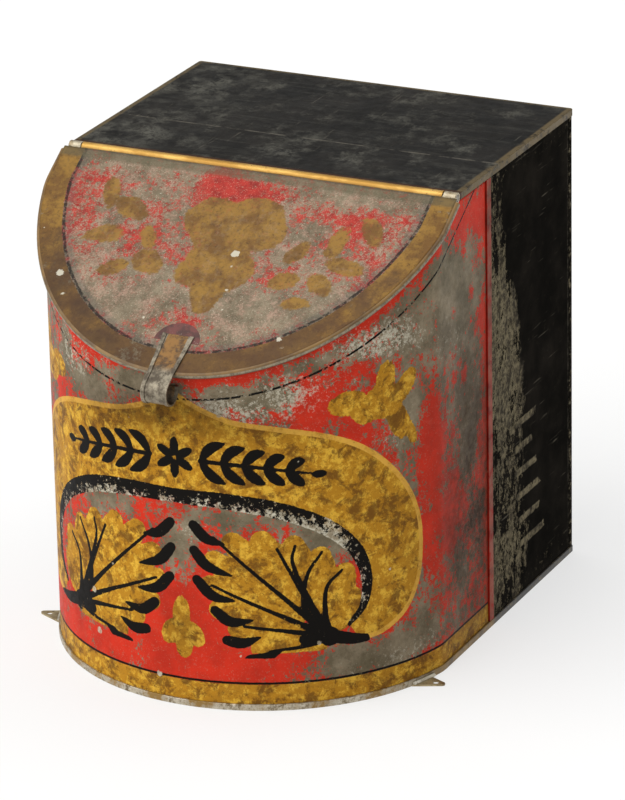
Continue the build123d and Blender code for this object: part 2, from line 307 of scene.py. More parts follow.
def front_fields(s, z):
    """Every painted field of the front at each vertex."""
    p = np.stack([s, z], 1)
    right = smooth_line([PEAK, *CARTOUCHE])
    left = np.array(flipped(right[1:], MIDDLE))[::-1]
    outer = inside(p, np.vstack([right, left]))
    arch_right = smooth_line(ARCH)
    arch_left = np.array(flipped(arch_right[1:], MIDDLE))[::-1]
    foot = [CARTOUCHE[-1], *flipped(CARTOUCHE[-1:], MIDDLE)]
    window = inside(p, np.vstack([arch_right, foot, arch_left]))
    cartouche = np.minimum(outer, -window)
    arch = union(stroke(p, ARCH, 3.4, 1.0, 3.7), stroke(p, flipped(ARCH, MIDDLE), 3.4, 1.0, 3.7))
    body_r, ink_r = leaf_fields(p)
    body_l, ink_l = leaf_fields(p, MIDDLE + 2.5)
    leaves = np.minimum(union(body_r, body_l), window + 1.5)
    flower = melt(*[oval(p, (x, y), a, b, tilt) for x, y, a, b, tilt in FLOWER])
    far_flower = melt(*[oval(p, (2 * MIDDLE - x, y), a, b, -tilt) for x, y, a, b, tilt in FLOWER])
    bud = melt(*[oval(p, (x, y), a, b, tilt) for x, y, a, b, tilt in BUD], softness=0.5)
    rim = np.full(len(p), FAR)
    for a, b in segments(np.vstack([left, right])):
        rim = np.minimum(rim, to_segment(p, a, b)[0])
    walk = np.linspace(-SEAM_S, SEAM_S, 400)
    slope = np.gradient(mouth_height(WALLS.at(walk)[1], 0), walk[1] - walk[0])
    below_mouth = (mouth_height(WALLS.at(s)[1], MOUTH_LEVEL) - z) / np.hypot(1, np.interp(s, walk, slope))
    return {
        "panel": cartouche,
        "leaves": union(leaves, bud),
        "sprays": union(flower, far_flower),
        "arch": arch,
        "ink": union(np.minimum(union(ink_r, ink_l), window + 4), garland_ink(p)),
        "edging": np.minimum(EDGING - rim, outer + 0.3),
        "window": window,
        "below_mouth": below_mouth,
        "height": z,
        "flakes": union(*[disc(p, (x, y), r) for x, y, r in FRONT_FLAKES]),
        "soot_and_shade": patches(p, FRONT_SOOT_AND_SHADE),
        "silver": patches(p, FRONT_SILVER),
        "wear": patches(p, FRONT_WEAR),
    }


# ---- the lid's design: across and down the lid, mm
LID_BORDER = 10.6  # gold band along the rolled edge
LID_LINE = 11.4
LID_STRIP = 7.5  # bare strip along the hinge
# The faded bloom in the middle as discs, and the small ovals round it
LID_HEART = [(-10, 32, 13), (9, 30, 14), (0, 40, 15), (18, 36, 9), (-2, 57, 13), (11, 58, 10), (-9, 63, 7),
             (3, 71, 8), (4, 79, 4)]
LID_LEAVES = [(-64, 24, 9, 4.5, 70), (-50, 32, 9, 5, 20), (-57, 48, 10, 4.5, -15), (-31, 60, 8, 6, 30),
              (-46, 66, 7, 4.5, -30), (-36, 47, 7, 4, 60), (52, 36, 9, 4.5, 100), (66, 27, 9, 4.5, 60),
              (60, 48, 9, 4.5, 10), (52, 59, 7, 5, 30), (35, 60, 8, 5.5, -20), (45, 71, 7, 3.5, -10),
              (36, 44, 7, 4, 120)]
LID_WEAR = [(0, 14, 60, 6, -0.08), (-10, 15, 16, 9, -0.16), (56, 24, 10, 8, -0.20),
            (-35, 38, 22, 10, -0.06), (-50, 52, 24, 10, -0.05), (70, 45, 10, 22, -0.08),
            (-78, 25, 10, 22, -0.05), (0, 86, 14, 6, -0.14), (30, 78, 34, 12, 0.12),
            (-40, 85, 26, 9, 0.10), (55, 12, 30, 5, 0.10), (-60, 10, 20, 5, 0.06)]
LID_FLAKES = [(8, 49, 2.3), (9, 56, 1.0), (2, 36, 0.7), (-4, 30, 0.6), (-12, 44, 0.7), (-69, 73, 2.2),
              (-63, 84, 1.2), (12, 69, 1.2), (14, 80, 0.9), (46, 91, 1.6), (49, 95, 1.1), (-20, 90, 0.8),
              (33, 60, 0.6), (-87, 50, 0.8), (60, 64, 0.8), (-40, 22, 0.7), (72, 58, 0.7)]


def lid_fields(x, v, edge):
    """Every painted field of the lid at each vertex, edge being how far it is from the rolled edge."""
    p = np.stack([x, v], 1)
    heart = melt(*[disc(p, (cx, cy), r) for cx, cy, r in LID_HEART], softness=1.5)
    small = union(*[oval(p, (cx, cy), a, b, tilt) for cx, cy, a, b, tilt in LID_LEAVES])
    return {
        "blotch": union(heart, small),
        "edge": edge,
        "down": v,
        "flakes": union(*[disc(p, (cx, cy), r) for cx, cy, r in LID_FLAKES]),
        "wear": patches(p, LID_WEAR),
    }


# ---- meshes
def sheet_mesh(name, points, rows, columns, fields, body, thickness=0.05):
    """A grid of points, given thickness, with one float attribute for each field."""
    corner = np.arange(rows * columns).reshape(rows, columns)
    loop = [corner[:-1, :-1], corner[:-1, 1:], corner[1:, 1:], corner[1:, :-1]]
    quads = np.stack(loop, -1).reshape(-1, 4)
    mesh = bpy.data.meshes.new(name)
    mesh.from_pydata((points * MM).tolist(), [], quads.tolist())
    for field, values in fields.items():
        attribute = mesh.attributes.new(field, "FLOAT", "POINT")
        attribute.data.foreach_set("value", np.asarray(values, np.float32))
    mesh.shade_smooth()
    piece = bpy.data.objects.new(name, mesh)
    bpy.context.scene.collection.objects.link(piece)
    solid = piece.modifiers.new("film", "SOLIDIFY")
    solid.thickness = thickness * MM
    solid.offset = -1
    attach(piece, body)
    return piece


FILM = 0.06  # paint film's outer face, over the tin
GRID = 0.8  # spacing of the front design's grid


def front_paint():
    columns, rows = int(2 * SEAM_S / GRID), 225
    s = np.linspace(-SEAM_S + SEAM_MARGIN, SEAM_S - SEAM_MARGIN, columns)
    x, y, nx, ny = WALLS.at(s)
    low = RIM_TOP - RIM_OVERLAP
    top = np.minimum(mouth_height(y, MOUTH_LEVEL) - 0.4, WALL_TOP - TOP_EDGE_DROP)
    z = low + (top - low) * np.linspace(0, 1, rows)[:, None]
    grid_s, grid_x, grid_y = (np.broadcast_to(v, z.shape) for v in (s, x + nx * FILM, y + ny * FILM))
    points = np.stack([grid_x, grid_y, z], -1).reshape(-1, 3)
    fields = front_fields(grid_s.ravel(), z.ravel())
    return sheet_mesh("front_paint_film", points, rows, columns, fields, "bin")


def lid_paint():
    roll = Plan((roll_high.x - roll_low.x) / 2 - HALF - ROLL)
    columns, rows = 200, 130
    level = FACE_LEVEL + FILM
    roll_level = FACE_LEVEL - ROLL
    tip = (HINGE.y - (roll.middle - roll.bow) - roll_level * SIN) / COS
    start = 2.5
    v = start + (tip - start - 0.05) * np.sin(np.linspace(0, math.pi / 2, rows))[:, None]
    half = roll.half_width_at(HINGE.y - v * COS - roll_level * SIN)
    x = half * np.linspace(1, -1, columns)[None, :]
    v = np.broadcast_to(v, x.shape)
    y = HINGE.y - v * COS - level * SIN
    z = HINGE.z - v * SIN + level * COS
    reach = roll.round_end + 30
    ox, oy = roll.at(np.linspace(-reach, reach, 260))[:2]
    outline = np.stack([ox, (HINGE.y - oy - roll_level * SIN) / COS], 1)
    p = np.stack([x.ravel(), v.ravel()], 1)
    edge = np.full(len(p), FAR)
    for a, b in segments(outline):
        edge = np.minimum(edge, to_segment(p, a, b)[0])
    points = np.stack([x, y, z], -1).reshape(-1, 3)
    fields = lid_fields(x.ravel(), v.ravel(), edge)
    return sheet_mesh("lid_paint_film", points, rows, columns, fields, "lid")


# ---- node graphs
def tone(r, g, b):
    """An sRGB colour from 0 to 255 as linear RGBA."""
    def linear(c):
        c /= 255
        return c / 12.92 if c <= 0.04045 else ((c + 0.055) / 1.055) ** 2.4
    return (linear(r), linear(g), linear(b), 1.0)


class Value:
    """A float socket that can be worked with like a number."""

    def __init__(self, graph, socket):
        self.graph, self.socket = graph, socket

    def _do(self, operation, *others, clamp=False):
        return self.graph.math(operation, self, *others, clamp=clamp)

    def __add__(self, other): return self._do("ADD", other)
    def __sub__(self, other): return self._do("SUBTRACT", other)
    def __mul__(self, other): return self._do("MULTIPLY", other)
    def __rsub__(self, other): return self.graph.math("SUBTRACT", other, self)
    def __truediv__(self, other): return self._do("DIVIDE", other)
    __radd__, __rmul__ = __add__, __mul__
    def __neg__(self): return self._do("MULTIPLY", -1.0)
    def abs(self): return self._do("ABSOLUTE")
    def max(self, other): return self._do("MAXIMUM", other)
    def min(self, other): return self._do("MINIMUM", other)
    def step(self, low, high): return self.graph.ramp(self, low, high)


class Graph:
    """One material's nodes."""

    def __init__(self, name):
        self.material = bpy.data.materials.new(name)
        self.material.use_nodes = True
        self.tree = self.material.node_tree
        self.shader = self.tree.nodes["Principled BSDF"]
        coordinates = self.node("ShaderNodeTexCoord")
        self.place = coordinates.outputs["Object"]
        split = self.node("ShaderNodeSeparateXYZ")
        self.tree.links.new(self.place, split.inputs[0])
        axes = [Value(self, output) for output in split.outputs]
        self.x, self.y, self.z = (self.math("MULTIPLY", axis, 1 / MM) for axis in axes)

    def node(self, kind, **settings):
        made = self.tree.nodes.new(kind)
        for key, value in settings.items():
            setattr(made, key, value)
        return made

    def put(self, target, value):
        if isinstance(value, Value):
            self.tree.links.new(value.socket, target)
        elif isinstance(value, bpy.types.NodeSocket):
            self.tree.links.new(value, target)
        else:
            target.default_value = value

    def math(self, operation, *values, clamp=False):
        made = self.node("ShaderNodeMath", operation=operation, use_clamp=clamp)
        for target, value in zip(made.inputs, values):
            self.put(target, value)
        return Value(self, made.outputs[0])

    def ramp(self, value, low, high, to_low=0.0, to_high=1.0):
        made = self.node("ShaderNodeMapRange", interpolation_type="SMOOTHSTEP")
        for target, v in zip(made.inputs, (value, low, high, to_low, to_high)):
            self.put(target, v)
        return Value(self, made.outputs[0])

    def field(self, name):
        return Value(self, self.node("ShaderNodeAttribute", attribute_name=name).outputs["Fac"])

    def stretched(self, sx, sy, sz, turn=0.0):
        """Object coordinates scaled, and turned about X by turn degrees first."""
        made = self.node("ShaderNodeMapping", vector_type="POINT")
        self.put(made.inputs["Vector"], self.place)
        made.inputs["Rotation"].default_value = (math.radians(turn), 0, 0)
        made.inputs["Scale"].default_value = (sx, sy, sz)
        return made.outputs[0]

    def noise(self, size, detail=6.0, rough=0.6, where=None, shift=0.0, distortion=0.0):
        """Noise with features of about size mm."""
        made = self.node("ShaderNodeTexNoise", noise_dimensions="4D")
        self.put(made.inputs["Vector"], where or self.place)
        settings = {"W": shift, "Scale": 1 / (size * MM), "Detail": detail, "Roughness": rough,
                    "Distortion": distortion}
        for key, value in settings.items():
            made.inputs[key].default_value = value
        return Value(self, made.outputs[0])

    def mix(self, a, b, amount):
        made = self.node("ShaderNodeMix", data_type="RGBA")
        self.put(made.inputs[0], amount)
        self.put(made.inputs[6], a)
        self.put(made.inputs[7], b)
        return made.outputs[2]

    def finish(self, colour, rough, metal=0.0, bumps=(), coat=0.0, coat_rough=0.2, specular=0.5):
        """Colour, roughness and metal, with bumps as (height, depth in mm) pairs."""
        self.put(self.shader.inputs["Base Color"], colour)
        self.put(self.shader.inputs["Roughness"], rough)
        self.put(self.shader.inputs["Metallic"], metal)
        self.shader.inputs["Coat Weight"].default_value = coat
        self.shader.inputs["Coat Roughness"].default_value = coat_rough
        self.shader.inputs["Specular IOR Level"].default_value = specular
        normal = None
        for height, depth in bumps:
            made = self.node("ShaderNodeBump")
            made.inputs["Strength"].default_value = 1.0
            made.inputs["Distance"].default_value = depth * MM
            self.put(made.inputs["Height"], height)
            if normal is not None:
                self.tree.links.new(normal, made.inputs["Normal"])
            normal = made.outputs[0]
        if normal is not None:
            self.tree.links.new(normal, self.shader.inputs["Normal"])
        return self.material


# ---- colours, sRGB
RED, DEEP_RED, FADED_RED = tone(210, 46, 26), tone(150, 28, 18), tone(184, 84, 66)
TIN, DULL_TIN = tone(148, 135, 112), tone(108, 98, 78)
DARK_TIN, GREEN_TIN = tone(58, 50, 38), tone(94, 89, 68)
CREAM = tone(208, 202, 182)
GOLD, BROWN_GOLD, LIGHT_GOLD = tone(180, 128, 36), tone(98, 62, 26), tone(220, 172, 60)
PALE_GOLD, OLD_GOLD = tone(220, 168, 72), tone(150, 114, 54)
INK, RUST = tone(22, 20, 18), tone(84, 52, 30)


def tin_colour(g, shift=0.0):
    """Tarnished tinplate: cloudy grey with brown specks."""
    cloud = g.noise(14, 8, 0.62, shift=shift).step(0.36, 0.66)
    fine = g.noise(1.6, 6, 0.7, shift=shift + 3).step(0.4, 0.7)
    speck = g.noise(0.9, 5, 0.7, shift=shift + 5).step(0.60, 0.70)
    base = g.mix(DULL_TIN, TIN, cloud)
    base = g.mix(base, GREEN_TIN, g.noise(26, 3, 0.5, shift=shift + 8).step(0.5, 0.75) * 0.7)
    base = g.mix(base, DARK_TIN, fine * 0.28)
    return g.mix(base, DARK_TIN, speck * 0.75)


def red_colour(g, shift=0.0):
    """Vermilion, darkened in clouds and faded in places."""
    cloud = g.noise(11, 7, 0.6, shift=shift + 20).step(0.35, 0.7)
    faded = g.noise(5, 8, 0.7, shift=shift + 24).step(0.56, 0.74)
    base = g.mix(RED, DEEP_RED, cloud * 0.55)
    return g.mix(base, FADED_RED, faded * 0.5 + 0.12)


def gold_colour(g, shift=0.0):
    """Bronze paint, mottled brown where it has oxidised."""
    mottle = g.noise(8.5, 10, 0.76, shift=shift + 40, distortion=0.4).step(0.48, 0.58)
    fine = g.noise(1.5, 8, 0.78, shift=shift + 44).step(0.52, 0.64)
    light = g.noise(5.0, 9, 0.76, shift=shift + 47).step(0.48, 0.58)
    base = g.mix(GOLD, LIGHT_GOLD, light)
    base = g.mix(base, BROWN_GOLD, mottle * 0.8)
    return g.mix(base, BROWN_GOLD, fine * 0.55)


def inner_colour(g, shift=0.0):
    """The unpainted inside: grey tin gone brown in clouds and specks."""
    cloud = g.noise(28, 9, 0.68, shift=shift + 155).step(0.40, 0.66)
    base = g.mix(tone(126, 118, 102), tone(86, 70, 52), cloud * 0.8)
    base = g.mix(base, RUST, g.noise(3, 8, 0.75, shift=shift + 156).step(0.57, 0.70) * 0.7)
    return g.mix(base, tone(60, 50, 38), g.noise(7, 7, 0.7, shift=shift + 158).step(0.54, 0.70) * 0.5)


def uneven(g, shift, low, spread, size=4, detail=5):
    """Roughness that rises from low by up to spread, in soft places."""
    return g.noise(size, detail, 0.6, shift=shift).step(0.3, 0.8) * spread + low


def dents(g, shift=0.0):
    """Slow swells of a thin sheet that has been knocked about."""
    return g.noise(46, 2, 0.4, shift=shift + 60)


# ---- materials
def front_material():
    """The painted front: red ground, gold design and black brushwork, each worn in its own way."""
    g = Graph("front_tole_paint")
    wobble = (g.noise(1.4, 4, 0.6, shift=2) - 0.5) * 1.3
    wear = g.field("wear")
    coarse = g.noise(20, 10, 0.72, shift=11)
    crumbs = g.noise(3.2, 8, 0.75, shift=12)
    streaks = g.noise(9, 6, 0.65, where=g.stretched(1, 1, 0.28), shift=13)
    dust = g.noise(0.9, 5, 0.7, shift=14)
    by_mouth = g.field("below_mouth").step(11, 3) * 0.13
    rubbed = coarse * 0.42 + streaks * 0.34 + crumbs * 0.42 + dust * 0.40 - 0.29 + wear * 0.46 - by_mouth
    panel = (g.field("panel") + wobble).step(-0.15, 0.15)
    leaves = (g.field("leaves") + wobble).step(-0.15, 0.15)
    sprays = (g.field("sprays") + wobble * 2).step(-0.15, 0.15)
    edging = (g.field("edging") + wobble * 0.5).step(-0.12, 0.12)
    arch = (g.field("arch") + wobble).step(-0.12, 0.12)
    ink = (g.field("ink") + wobble * 0.7).step(-0.12, 0.12)
    height = g.field("height")
    below = g.field("below_mouth")
    broken = g.noise(2.6, 4, 0.7, shift=30).step(0.42, 0.5)
    stripe = (0.5 - (below - MOUTH_LINE).abs() + wobble * 0.4).step(-0.12, 0.12) * broken
    foot_stripe = (0.55 - (height - FOOT_LINE).abs() + wobble * 0.4).step(-0.12, 0.12)
    foot = (FOOT_TOP - height + wobble * 0.5).step(-0.15, 0.15)
    bare_ground = rubbed.step(0.515, 0.545)
    bare_gold = (crumbs * 0.55 + coarse * 0.45 + wear * 0.10).step(0.645, 0.665)
    inner_arch = g.field("window").step(-2.5, 3.5) * 0.055
    chips = crumbs * 0.62 + coarse * 0.34 + dust * 0.22 - 0.09
    bare_arch = (chips + wear * 0.24 + inner_arch).step(0.565, 0.59)
    bare_ink = (chips + wear * 0.10 + (60 - height).step(-10, 10) * 0.03).step(0.615, 0.64)
    gold = panel.max(leaves).max(sprays).max(foot)
    colour = g.mix(red_colour(g), tin_colour(g), bare_ground)
    pepper = g.noise(0.8, 4, 0.8, shift=37).step(0.57, 0.64) * (crumbs.step(0.44, 0.60) * 0.6 + 0.2)
    colour = g.mix(colour, TIN, pepper * (1 - bare_ground))
    silver_place = g.field("silver")
    silver = (g.noise(1.8, 8, 0.8, shift=33) * 0.7 + coarse * 0.3 + silver_place * 0.12).step(0.575, 0.61)
    silver = silver * (silver_place.min(1.0) * 0.75 + 0.2)
    colour = g.mix(colour, g.mix(TIN, CREAM, dust.step(0.36, 0.56)), silver)
    colour = g.mix(colour, gold_colour(g), gold)
    kept_edging = g.noise(3.6, 7, 0.75, shift=38).step(0.38, 0.56) * 0.55 + 0.4
    colour = g.mix(colour, PALE_GOLD, edging * kept_edging)
    chipped = bare_gold * gold
    colour = g.mix(colour, tin_colour(g, 3), chipped)
    black = (ink.max(stripe).max(foot_stripe) * (1 - bare_ink)).max(arch * (1 - bare_arch))
    colour = g.mix(colour, INK, black)
    under_chip = arch * bare_arch * (1 - ink)
    chip_colour = g.mix(TIN, CREAM, g.noise(2.4, 6, 0.7, shift=36).step(0.42, 0.6))
    colour = g.mix(colour, chip_colour, under_chip * 0.9)
    flake = (g.field("flakes") + wobble * 1.5).step(0.1, 0.5)
    colour = g.mix(colour, g.mix(TIN, CREAM, crumbs.step(0.4, 0.6)), flake * 0.75)
    # Painted shade: the darkening spots darken the paint in places, and a painted shadow darkens the strip
    # just under the lid's rolled edge
    sooty = (g.field("soot_and_shade") * (coarse * 0.7 + crumbs * 0.5).step(0.30, 0.75)).max(below.step(6, 0.5) * 0.5)
    colour = g.mix(colour, tone(52, 34, 18), sooty * (1 - black))
    grime = (14.0 - height).step(-16, 14) * g.noise(6, 6, 0.6, shift=35).step(0.4, 0.75)
    colour = g.mix(colour, RUST, grime * 0.25)
    bare = bare_ground * (1 - gold) * (1 - black)
    rough = uneven(g, 50, 0.34, 0.22, size=3) + bare * 0.08
    metal = bare * 0.35
    relief = black * 0.5 + gold * 0.35 + (1 - bare) * 0.5 + crumbs * 0.25
    fine_grain = g.noise(0.8, 3, 0.6, shift=52)
    bumps = [(dents(g), 1.2), (relief, 0.07), (fine_grain, 0.02)]
    return g.finish(colour, rough, metal, bumps, specular=0.03)


def lid_material():
    """The lid: red rubbed down to speckled tin, with a brown gold border and what is left of a bloom."""
    g = Graph("lid_rubbed_paint")
    wobble = (g.noise(1.6, 4, 0.65, shift=2) - 0.5) * 1.6
    wear = g.field("wear")
    edge = g.field("edge")
    down = g.field("down")
    coarse = g.noise(16, 9, 0.72, shift=71)
    crumbs = g.noise(1.9, 9, 0.8, shift=72)
    dust = g.noise(0.9, 5, 0.75, shift=73)
    rubbed = coarse * 0.52 + crumbs * 0.50 + dust * 0.30 - 0.16 + wear * 0.62
    bare = rubbed.step(0.42, 0.50)
    border = (LID_BORDER - edge + wobble * 1.2).step(-0.2, 0.2)
    broken = g.noise(3.4, 6, 0.75, shift=74).step(0.40, 0.52)
    stripe = (0.8 - (edge - LID_LINE).abs() + wobble * 0.9).step(-0.2, 0.3) * broken
    shade = (2.6 - (edge - (LID_LINE + 0.8)).abs()).step(-1.2, 1.2)
    blotch = (g.field("blotch") + wobble * 2.2 + (coarse - 0.5) * 9).step(-0.5, 0.6)
    thin_gold = g.noise(2.2, 7, 0.75, shift=76).step(0.62, 0.48)
    pink = (g.noise(8, 8, 0.75, shift=78) * 0.6 + dust * 0.4).step(0.47, 0.60)
    tin = g.mix(tin_colour(g, 7), tone(186, 150, 130), pink * 0.6)
    red = g.mix(tone(182, 56, 46), tone(138, 40, 34), g.noise(5, 6, 0.6, shift=79).step(0.4, 0.7))
    colour = g.mix(red, tin, bare)
    grain = g.noise(0.7, 4, 0.8, shift=87)
    colour = g.mix(colour, tone(206, 190, 168), grain.step(0.56, 0.64) * 0.55)
    colour = g.mix(colour, tone(112, 48, 40), grain.step(0.43, 0.36) * 0.6)
    old = g.mix(OLD_GOLD, tone(116, 84, 44), g.noise(10, 9, 0.7, shift=80).step(0.42, 0.60))
    old = g.mix(old, tone(76, 56, 36), g.noise(1.6, 7, 0.75, shift=82).step(0.50, 0.66) * 0.7)
    colour = g.mix(colour, old, blotch * (thin_gold * 0.25 + 0.72))
    brown = (g.noise(13, 8, 0.7, shift=88) * 0.8 + (down - 60).step(-50, 45) * 0.2).step(0.40, 0.62)
    colour = g.mix(colour, g.mix(old, tone(84, 62, 46), brown * 0.75), border)
    worn_border = (coarse * 0.6 + crumbs * 0.4).step(0.56, 0.6) * border
    colour = g.mix(colour, tin_colour(g, 9), worn_border * 0.8)
    near_left = (-g.x - 4).step(-20, 30) * (down - 55).step(-15, 25)
    stained = near_left * g.noise(18, 6, 0.6, shift=83).step(0.36, 0.6) * border
    colour = g.mix(colour, tone(70, 54, 42), stained * 0.6)
    colour = g.mix(colour, tone(86, 84, 80), shade * 0.35 * (1 - border))
    colour = g.mix(colour, INK, stripe * 0.85)
    strip = (LID_STRIP - down + wobble).step(-1.0, 1.0)
    colour = g.mix(colour, GREEN_TIN, strip * 0.6)
    flake = (g.field("flakes") + wobble * 1.7).step(0.2, 0.5) * 0.85
    colour = g.mix(colour, CREAM, flake)
    rough = uneven(g, 85, 0.42, 0.2, size=3)
    relief = crumbs * 0.7 + border * 0.3 + blotch * 0.2 + flake * 0.8
    fine_grain = g.noise(0.8, 3, 0.6, shift=86)
    bumps = [(dents(g, 5), 1.0), (relief, 0.08), (fine_grain, 0.03)]
    return g.finish(colour, rough, bare * 0.25, bumps, specular=0.14)


def scratches(g, turn, shift):
    """Fine straight scratches in one direction, as a mask."""
    lines = g.noise(2.2, 3, 0.5, where=g.stretched(1, 0.06, 1, turn), shift=shift)
    places = g.noise(18, 4, 0.6, shift=shift + 1)
    return lines.step(0.64, 0.70) * places.step(0.46, 0.60)


def black_colour(g, shift=0.0):
    """Black japan, cloudy and a little dusty."""
    cloud = g.noise(22, 6, 0.6, shift=shift + 100).step(0.35, 0.75)
    base = g.mix(tone(20, 19, 17), tone(36, 33, 29), cloud)
    return g.mix(base, tone(50, 46, 38), g.noise(4, 8, 0.7, shift=shift + 101).step(0.55, 0.75) * 0.5)


# How far the worn band reaches behind the seam, in units of 100 mm, by share of the side's height
BAND_REACH = [(0.0, 0.36), (0.12, 0.42), (0.28, 0.37), (0.48, 0.37), (0.60, 0.32), (0.70, 0.27), (0.78, 0.19),
              (1.0, 0.13)]


def side_material():
    """Black japan, rubbed to the tin in a band behind the seam. The right side has a row of short marks."""
    g = Graph("side_black_japan")
    behind = g.y - SEAM_Y
    ragged = (g.noise(9, 8, 0.7, shift=110) - 0.5) * 22
    curve = g.node("ShaderNodeFloatCurve")
    line = curve.mapping.curves[0]
    line.points[0].location, line.points[1].location = BAND_REACH[0], BAND_REACH[-1]
    for at, level in BAND_REACH[1:-1]:
        line.points.new(at, level)
    curve.mapping.update()
    g.put(curve.inputs["Value"], g.z / WALL_TOP)
    right = g.x.step(-1, 1)
    reach = Value(g, curve.outputs[0]) * (right * 38 + 62)
    teeth = g.math("SINE", (g.z + ragged * 0.12) * 0.52).step(0.50, 0.80)
    low_half = (92 - g.z).step(-8, 6) * (g.z - 20).step(-4, 6)
    beyond = behind - reach
    dash_end = g.noise(7, 3, 0.5, shift=113) * 40 - 8
    dashes = teeth * low_half * right * (dash_end - beyond).step(-0.8, 0.8) * (beyond + 9).step(-2, 2)
    band = (reach + ragged - behind).step(-1.5, 2.5)
    crumbs = g.noise(3.0, 9, 0.8, shift=111)
    drag = g.noise(6.0, 8, 0.75, where=g.stretched(1, 1, 0.3), shift=112)
    fullness = (g.z - 92).step(-14, 18) * 0.07 + (180 - g.z).step(-15, 30) * 0.06 - 0.035
    fade = (reach + ragged - behind).step(10, -1) * 0.06
    low_patch = (1 - (g.z - 28).abs().step(6, 18)) * 0.05
    flecks = crumbs * 0.50 + drag * 0.80 + g.noise(0.9, 5, 0.7, shift=116) * 0.2 - 0.25
    rubbed = (flecks + fullness + low_patch - fade).step(0.515, 0.54)
    worn = (band * rubbed).max(dashes * crumbs.step(0.36, 0.42))
    fine = scratches(g, 20, 114) * 0.6 + scratches(g, -8, 118) * 0.35
    rear = (BACK_Y - g.y - 3.5).abs().step(1.2, 0.2) * crumbs.step(0.45, 0.6)
    by_edges = (g.z - 9).abs().step(6, 1) + (WALL_TOP - 6 - g.z).abs().step(5, 1)
    edge_wear = by_edges * crumbs.step(0.56, 0.62)
    tarnish = (g.noise(3.5, 8, 0.78, shift=119) * 0.6 + drag * 0.4).step(0.43, 0.57)
    tin = g.mix(tone(120, 110, 86), tone(48, 42, 32), tarnish)
    mask = worn.max(edge_wear * 0.7)
    colour = g.mix(black_colour(g), tin, mask)
    colour = g.mix(colour, tone(104, 98, 86), (fine + rear * 0.4) * (1 - mask))
    colour = g.mix(colour, inner_colour(g, 3), (HALF - SKIN - g.x.abs()).step(-0.05, 0.05))
    rough = uneven(g, 120, 0.3, 0.16) + mask * 0.2
    bumps = [(dents(g, 9), 1.4), ((1 - mask) + crumbs * 0.2, 0.06)]
    return g.finish(colour, rough, mask * 0.3, bumps, specular=0.0)


def back_material():
    """Black japan on the back, chipped here and there and along its edges."""
    g = Graph("back_black_japan")
    crumbs = g.noise(2.6, 9, 0.78, shift=131)
    worn = (crumbs * 0.55 + g.noise(30, 6, 0.65, shift=132) * 0.45).step(0.575, 0.61)
    edges = (HALF - g.x.abs()).step(3.0, 0.5).max((g.z - 4).abs().step(4, 0)) * crumbs.step(0.52, 0.60)
    fine = scratches(g, 14, 134)
    tin = g.mix(tone(128, 118, 96), tone(82, 72, 56), g.noise(3.5, 7, 0.7, shift=135).step(0.4, 0.65))
    mask = worn.max(edges)
    colour = g.mix(black_colour(g, 5), tin, mask)
    colour = g.mix(colour, tone(92, 86, 76), fine * 0.5 * (1 - mask))
    within = (BACK_Y - SKIN - g.y).step(-0.05, 0.05) * (HALF - g.x.abs()).step(-0.05, 0.05)
    colour = g.mix(colour, inner_colour(g, 5), within)
    rough = uneven(g, 136, 0.32, 0.16) + mask * 0.2
    bumps = [(dents(g, 12), 1.4), ((1 - mask) + crumbs * 0.2, 0.06)]
    return g.finish(colour, rough, mask * 0.3, bumps, specular=0.0)


def top_material():
    """Black japan on the top, dusty and scratched, its turned edges rubbed to greenish brown, with a strip of
    painted shade along its front edge behind the hinge barrel.
    """
    g = Graph("top_black_japan")
    crumbs = g.noise(3.0, 9, 0.78, shift=141)
    patch = (crumbs * 0.42 + g.noise(26, 8, 0.72, shift=142) * 0.70 - 0.06).step(0.50, 0.58)
    left = (-52 - g.x).step(-18, 30)
    left = left * (crumbs * 0.5 + g.noise(12, 6, 0.6, shift=143) * 0.5).step(0.47, 0.56)
    strip = 1 - (g.y - HINGE.y - 22).abs().step(6, 16)
    strip = strip * (crumbs * 0.5 + g.noise(15, 6, 0.6, shift=144) * 0.5).step(0.50, 0.60)
    turned = g.node("ShaderNodeMapping", vector_type="POINT")
    g.put(turned.inputs["Vector"], g.place)
    turned.inputs["Rotation"].default_value = (0, 0, math.radians(24))
    turned.inputs["Scale"].default_value = (1, 0.05, 1)
    lines = g.noise(1.3, 4, 0.6, where=turned.outputs[0], shift=145).step(0.60, 0.70)
    lines = lines * g.noise(16, 5, 0.65, shift=146).step(0.46, 0.60)
    crease = (g.y - (HINGE.y + 45)).abs().step(0.9, 0.3) * g.noise(10, 4, 0.6, shift=147).step(0.42, 0.55)
    rim = ((HALF - 1.6) - g.x.abs()).step(0.6, -0.6).max((BACK_Y - 1.0 - g.y).step(0.6, -0.6))
    rim_wear = rim * (crumbs * 0.5 + g.noise(14, 5, 0.6, shift=148) * 0.5).step(0.40, 0.52)
    # Painted shade: a dark brown strip along the front edge, in the junction behind the hinge barrel
    front = (g.y - HINGE.y - 3.2).step(2.2, 0.6)
    swept = g.noise(5, 7, 0.7, where=g.stretched(0.1, 1, 1), shift=150).step(0.50, 0.62)
    swept = swept * patch.max(0.3) * 0.6
    dusty = (patch * 0.75 + left * 0.8 + strip * 0.7).min(1.0).max(swept)
    dust = g.mix(tone(112, 110, 100), tone(48, 46, 42), crumbs.step(0.42, 0.60))
    colour = g.mix(black_colour(g, 9), dust, dusty * (crumbs * 0.5 + 0.5))
    colour = g.mix(colour, tone(112, 106, 94), (lines * 0.4 + crease * 0.5))
    colour = g.mix(colour, tone(112, 96, 66), rim_wear * 0.85)
    colour = g.mix(colour, tone(66, 40, 22), front * 0.85)
    outside = rim.max((g.z - WALL_TOP - 0.15).step(-0.05, 0.05)).max(front)
    colour = g.mix(inner_colour(g, 7), colour, outside)
    rough = uneven(g, 149, 0.3, 0.2, size=5, detail=6) + patch * 0.12
    bumps = [(dents(g, 15), 1.6), (crumbs * 0.4 - patch * 0.5 - lines, 0.05)]
    return g.finish(colour, rough, rim_wear * 0.3, bumps, specular=0.07)


